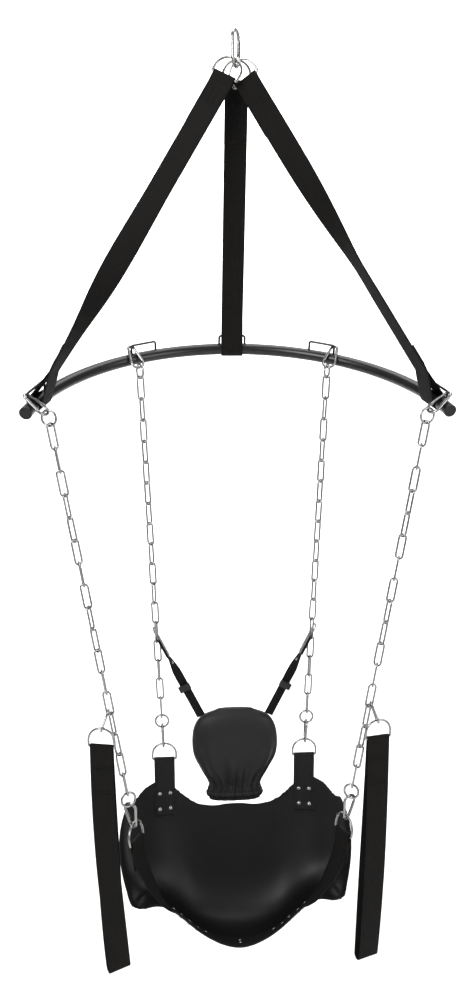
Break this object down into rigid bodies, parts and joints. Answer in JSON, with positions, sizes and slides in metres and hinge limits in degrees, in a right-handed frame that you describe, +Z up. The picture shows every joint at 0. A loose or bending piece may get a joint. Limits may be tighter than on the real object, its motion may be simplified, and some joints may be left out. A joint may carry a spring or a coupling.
{
  "type": "suspended sling seat",
  "caption": "Suspended sling seat: top hook, three webbing straps, curved spreader tube, four chains, leather sling panel, head cushion and two hanging leg loops",
  "frame": {"origin": "Inner top of the top hook's eye, where the hook rests on whatever holds the part.", "axes": "+Z up, +X to the right of a viewer facing the open front, -Y toward that viewer."},
  "size_m": [0.83, 0.3474, 1.9154],
  "materials": {
    "plated_steel": "bright nickel plate",
    "bar_paint": "satin black powder coat",
    "plug_plastic": "moulded black",
    "webbing": "flat woven webbing",
    "panel_leather": "smooth satin black leather",
    "cushion_leather": "soft charcoal leather",
    "tag_leather": "grey leather tag",
    "slider_plastic": "moulded black"
  },
  "bodies": {
    "top_hook": {"top_hook_frame": "plated_steel"},
    "spreader": {"hanger_ring_centre": "plated_steel", "hanger_ring_left": "plated_steel", "hanger_ring_right": "plated_steel", "hanger_strap_centre": "webbing", "hanger_strap_left": "webbing", "hanger_strap_right": "webbing", "spreader_tube": "bar_paint", "tube_end_plugs": "plug_plastic", "centre_wire_loop": "bar_paint", "rear_wire_loops": "bar_paint", "end_wire_loops": "bar_paint", "rear_upper_hooks": "plated_steel", "front_upper_hooks": "plated_steel"},
    "rear_chains": {"rear_chain_left": "plated_steel", "rear_chain_right": "plated_steel", "rear_chain_rings": "plated_steel", "rear_lower_hooks": "plated_steel", "rear_seat_rings": "plated_steel", "head_strap_rings": "plated_steel", "head_strap_tags": "tag_leather", "head_straps": "webbing", "head_strap_sliders": "slider_plastic", "head_cushion": "cushion_leather"},
    "front_chains": {"front_chain_left": "plated_steel", "front_chain_right": "plated_steel", "front_chain_rings": "plated_steel", "front_lower_hooks": "plated_steel", "leg_hook_left": "plated_steel", "leg_hook_right": "plated_steel"},
    "seat": {"sling_panel": "panel_leather", "rear_tabs": "panel_leather", "tab_rivets": "plated_steel", "front_strap": "webbing", "front_seat_rings": "plated_steel"},
    "leg_loop_left": {"leg_ring_left": "plated_steel", "leg_strap_left": "webbing"},
    "leg_loop_right": {"leg_ring_right": "plated_steel", "leg_strap_right": "webbing"},
    "top_gate": {"top_hook_gate": "plated_steel"},
    "rear_upper_gate_right": {"rear_upper_gate_right": "plated_steel"},
    "front_upper_gate_right": {"front_upper_gate_right": "plated_steel"},
    "rear_lower_gate_right": {"rear_lower_gate_right": "plated_steel"},
    "front_lower_gate_right": {"front_lower_gate_right": "plated_steel"},
    "leg_gate_right": {"leg_gate_right": "plated_steel"},
    "rear_upper_gate_left": {"rear_upper_gate_left": "plated_steel"},
    "front_upper_gate_left": {"front_upper_gate_left": "plated_steel"},
    "rear_lower_gate_left": {"rear_lower_gate_left": "plated_steel"},
    "front_lower_gate_left": {"front_lower_gate_left": "plated_steel"},
    "leg_gate_left": {"leg_gate_left": "plated_steel"}
  },
  "joints": [
    {"name": "sling_swing", "type": "hinge", "parent": "top_hook", "child": "spreader", "pos_m": [0, 0, -0.0549], "axis": [1, 0, 0], "range_deg": [-10, 10]},
    {"name": "rear_chain_swing", "type": "hinge", "parent": "spreader", "child": "rear_chains", "pos_m": [0, 0.06116, -0.63118], "axis": [1, 0, 0], "range_deg": [-9, 9]},
    {"name": "seat_level", "type": "hinge", "parent": "rear_chains", "child": "seat", "pos_m": [0, 0.06116, -1.54474], "axis": [1, 0, 0], "range_deg": [-9, 9]},
    {"name": "front_chain_swing", "type": "hinge", "parent": "spreader", "child": "front_chains", "pos_m": [0, -0.15273, -0.70903], "axis": [1, 0, 0], "range_deg": [-9.58, 9.58]},
    {"name": "leg_loop_right_swing", "type": "hinge", "parent": "front_chains", "child": "leg_loop_right", "pos_m": [0.2841, -0.16483, -1.34958], "axis": [-0.9781, -0.2079, 0], "range_deg": [0, 60]},
    {"name": "leg_loop_left_swing", "type": "hinge", "parent": "front_chains", "child": "leg_loop_left", "pos_m": [-0.2841, -0.16483, -1.34958], "axis": [-0.9781, 0.2079, 0], "range_deg": [0, 60]},
    {"name": "top_gate_hinge", "type": "hinge", "parent": "top_hook", "child": "top_gate", "pos_m": [0.00635, 0.01362, -0.04055], "axis": [0.9063, -0.4226, 0], "range_deg": [0, 22], "stiffness_Nm_per_rad": 0.03, "springref_deg": -17.19},
    {"name": "rear_upper_gate_right_hinge", "type": "hinge", "parent": "spreader", "child": "rear_upper_gate_right", "pos_m": [0.22412, 0.0766, -0.605], "axis": [0.288, 0.7756, -0.5617], "range_deg": [0, 22], "stiffness_Nm_per_rad": 0.03, "springref_deg": -17.19},
    {"name": "front_upper_gate_right_hinge", "type": "hinge", "parent": "spreader", "child": "front_upper_gate_right", "pos_m": [0.39838, -0.15827, -0.69049], "axis": [0.577, 0.4546, -0.6786], "range_deg": [0, 22], "stiffness_Nm_per_rad": 0.03, "springref_deg": -17.19},
    {"name": "rear_lower_gate_right_hinge", "type": "hinge", "parent": "rear_chains", "child": "rear_lower_gate_right", "pos_m": [0.16682, 0.06882, -1.49943], "axis": [0.9992, 0, -0.04], "range_deg": [0, 22], "stiffness_Nm_per_rad": 0.03, "springref_deg": -17.19},
    {"name": "front_lower_gate_right_hinge", "type": "hinge", "parent": "front_chains", "child": "front_lower_gate_right", "pos_m": [0.23286, -0.14921, -1.56799], "axis": [0.4528, -0.8886, -0.0729], "range_deg": [0, 22], "stiffness_Nm_per_rad": 0.03, "springref_deg": -17.19},
    {"name": "leg_gate_right_hinge", "type": "hinge", "parent": "front_chains", "child": "leg_gate_right", "pos_m": [0.27224, -0.16135, -1.3237], "axis": [0.9393, 0.0611, 0.3377], "range_deg": [0, 22], "stiffness_Nm_per_rad": 0.03, "springref_deg": -17.19},
    {"name": "rear_upper_gate_left_hinge", "type": "hinge", "parent": "spreader", "child": "rear_upper_gate_left", "pos_m": [-0.22412, 0.0766, -0.605], "axis": [0.288, -0.7756, 0.5617], "range_deg": [0, 22], "stiffness_Nm_per_rad": 0.03, "springref_deg": -17.19},
    {"name": "front_upper_gate_left_hinge", "type": "hinge", "parent": "spreader", "child": "front_upper_gate_left", "pos_m": [-0.39838, -0.15827, -0.69049], "axis": [0.577, -0.4546, 0.6786], "range_deg": [0, 22], "stiffness_Nm_per_rad": 0.03, "springref_deg": -17.19},
    {"name": "rear_lower_gate_left_hinge", "type": "hinge", "parent": "rear_chains", "child": "rear_lower_gate_left", "pos_m": [-0.16682, 0.06882, -1.49943], "axis": [0.9992, 0, 0.04], "range_deg": [0, 22], "stiffness_Nm_per_rad": 0.03, "springref_deg": -17.19},
    {"name": "front_lower_gate_left_hinge", "type": "hinge", "parent": "front_chains", "child": "front_lower_gate_left", "pos_m": [-0.23286, -0.14921, -1.56799], "axis": [0.4528, 0.8886, 0.0729], "range_deg": [0, 22], "stiffness_Nm_per_rad": 0.03, "springref_deg": -17.19},
    {"name": "leg_gate_left_hinge", "type": "hinge", "parent": "front_chains", "child": "leg_gate_left", "pos_m": [-0.27224, -0.16135, -1.3237], "axis": [0.9393, -0.0611, -0.3377], "range_deg": [0, 22], "stiffness_Nm_per_rad": 0.03, "springref_deg": -17.19}
  ],
  "couplings": [
    {"joint": "seat_level", "follows": "rear_chain_swing", "ratio": -1},
    {"joint": "front_chain_swing", "follows": "rear_chain_swing", "ratio": 1.0584}
  ]
}
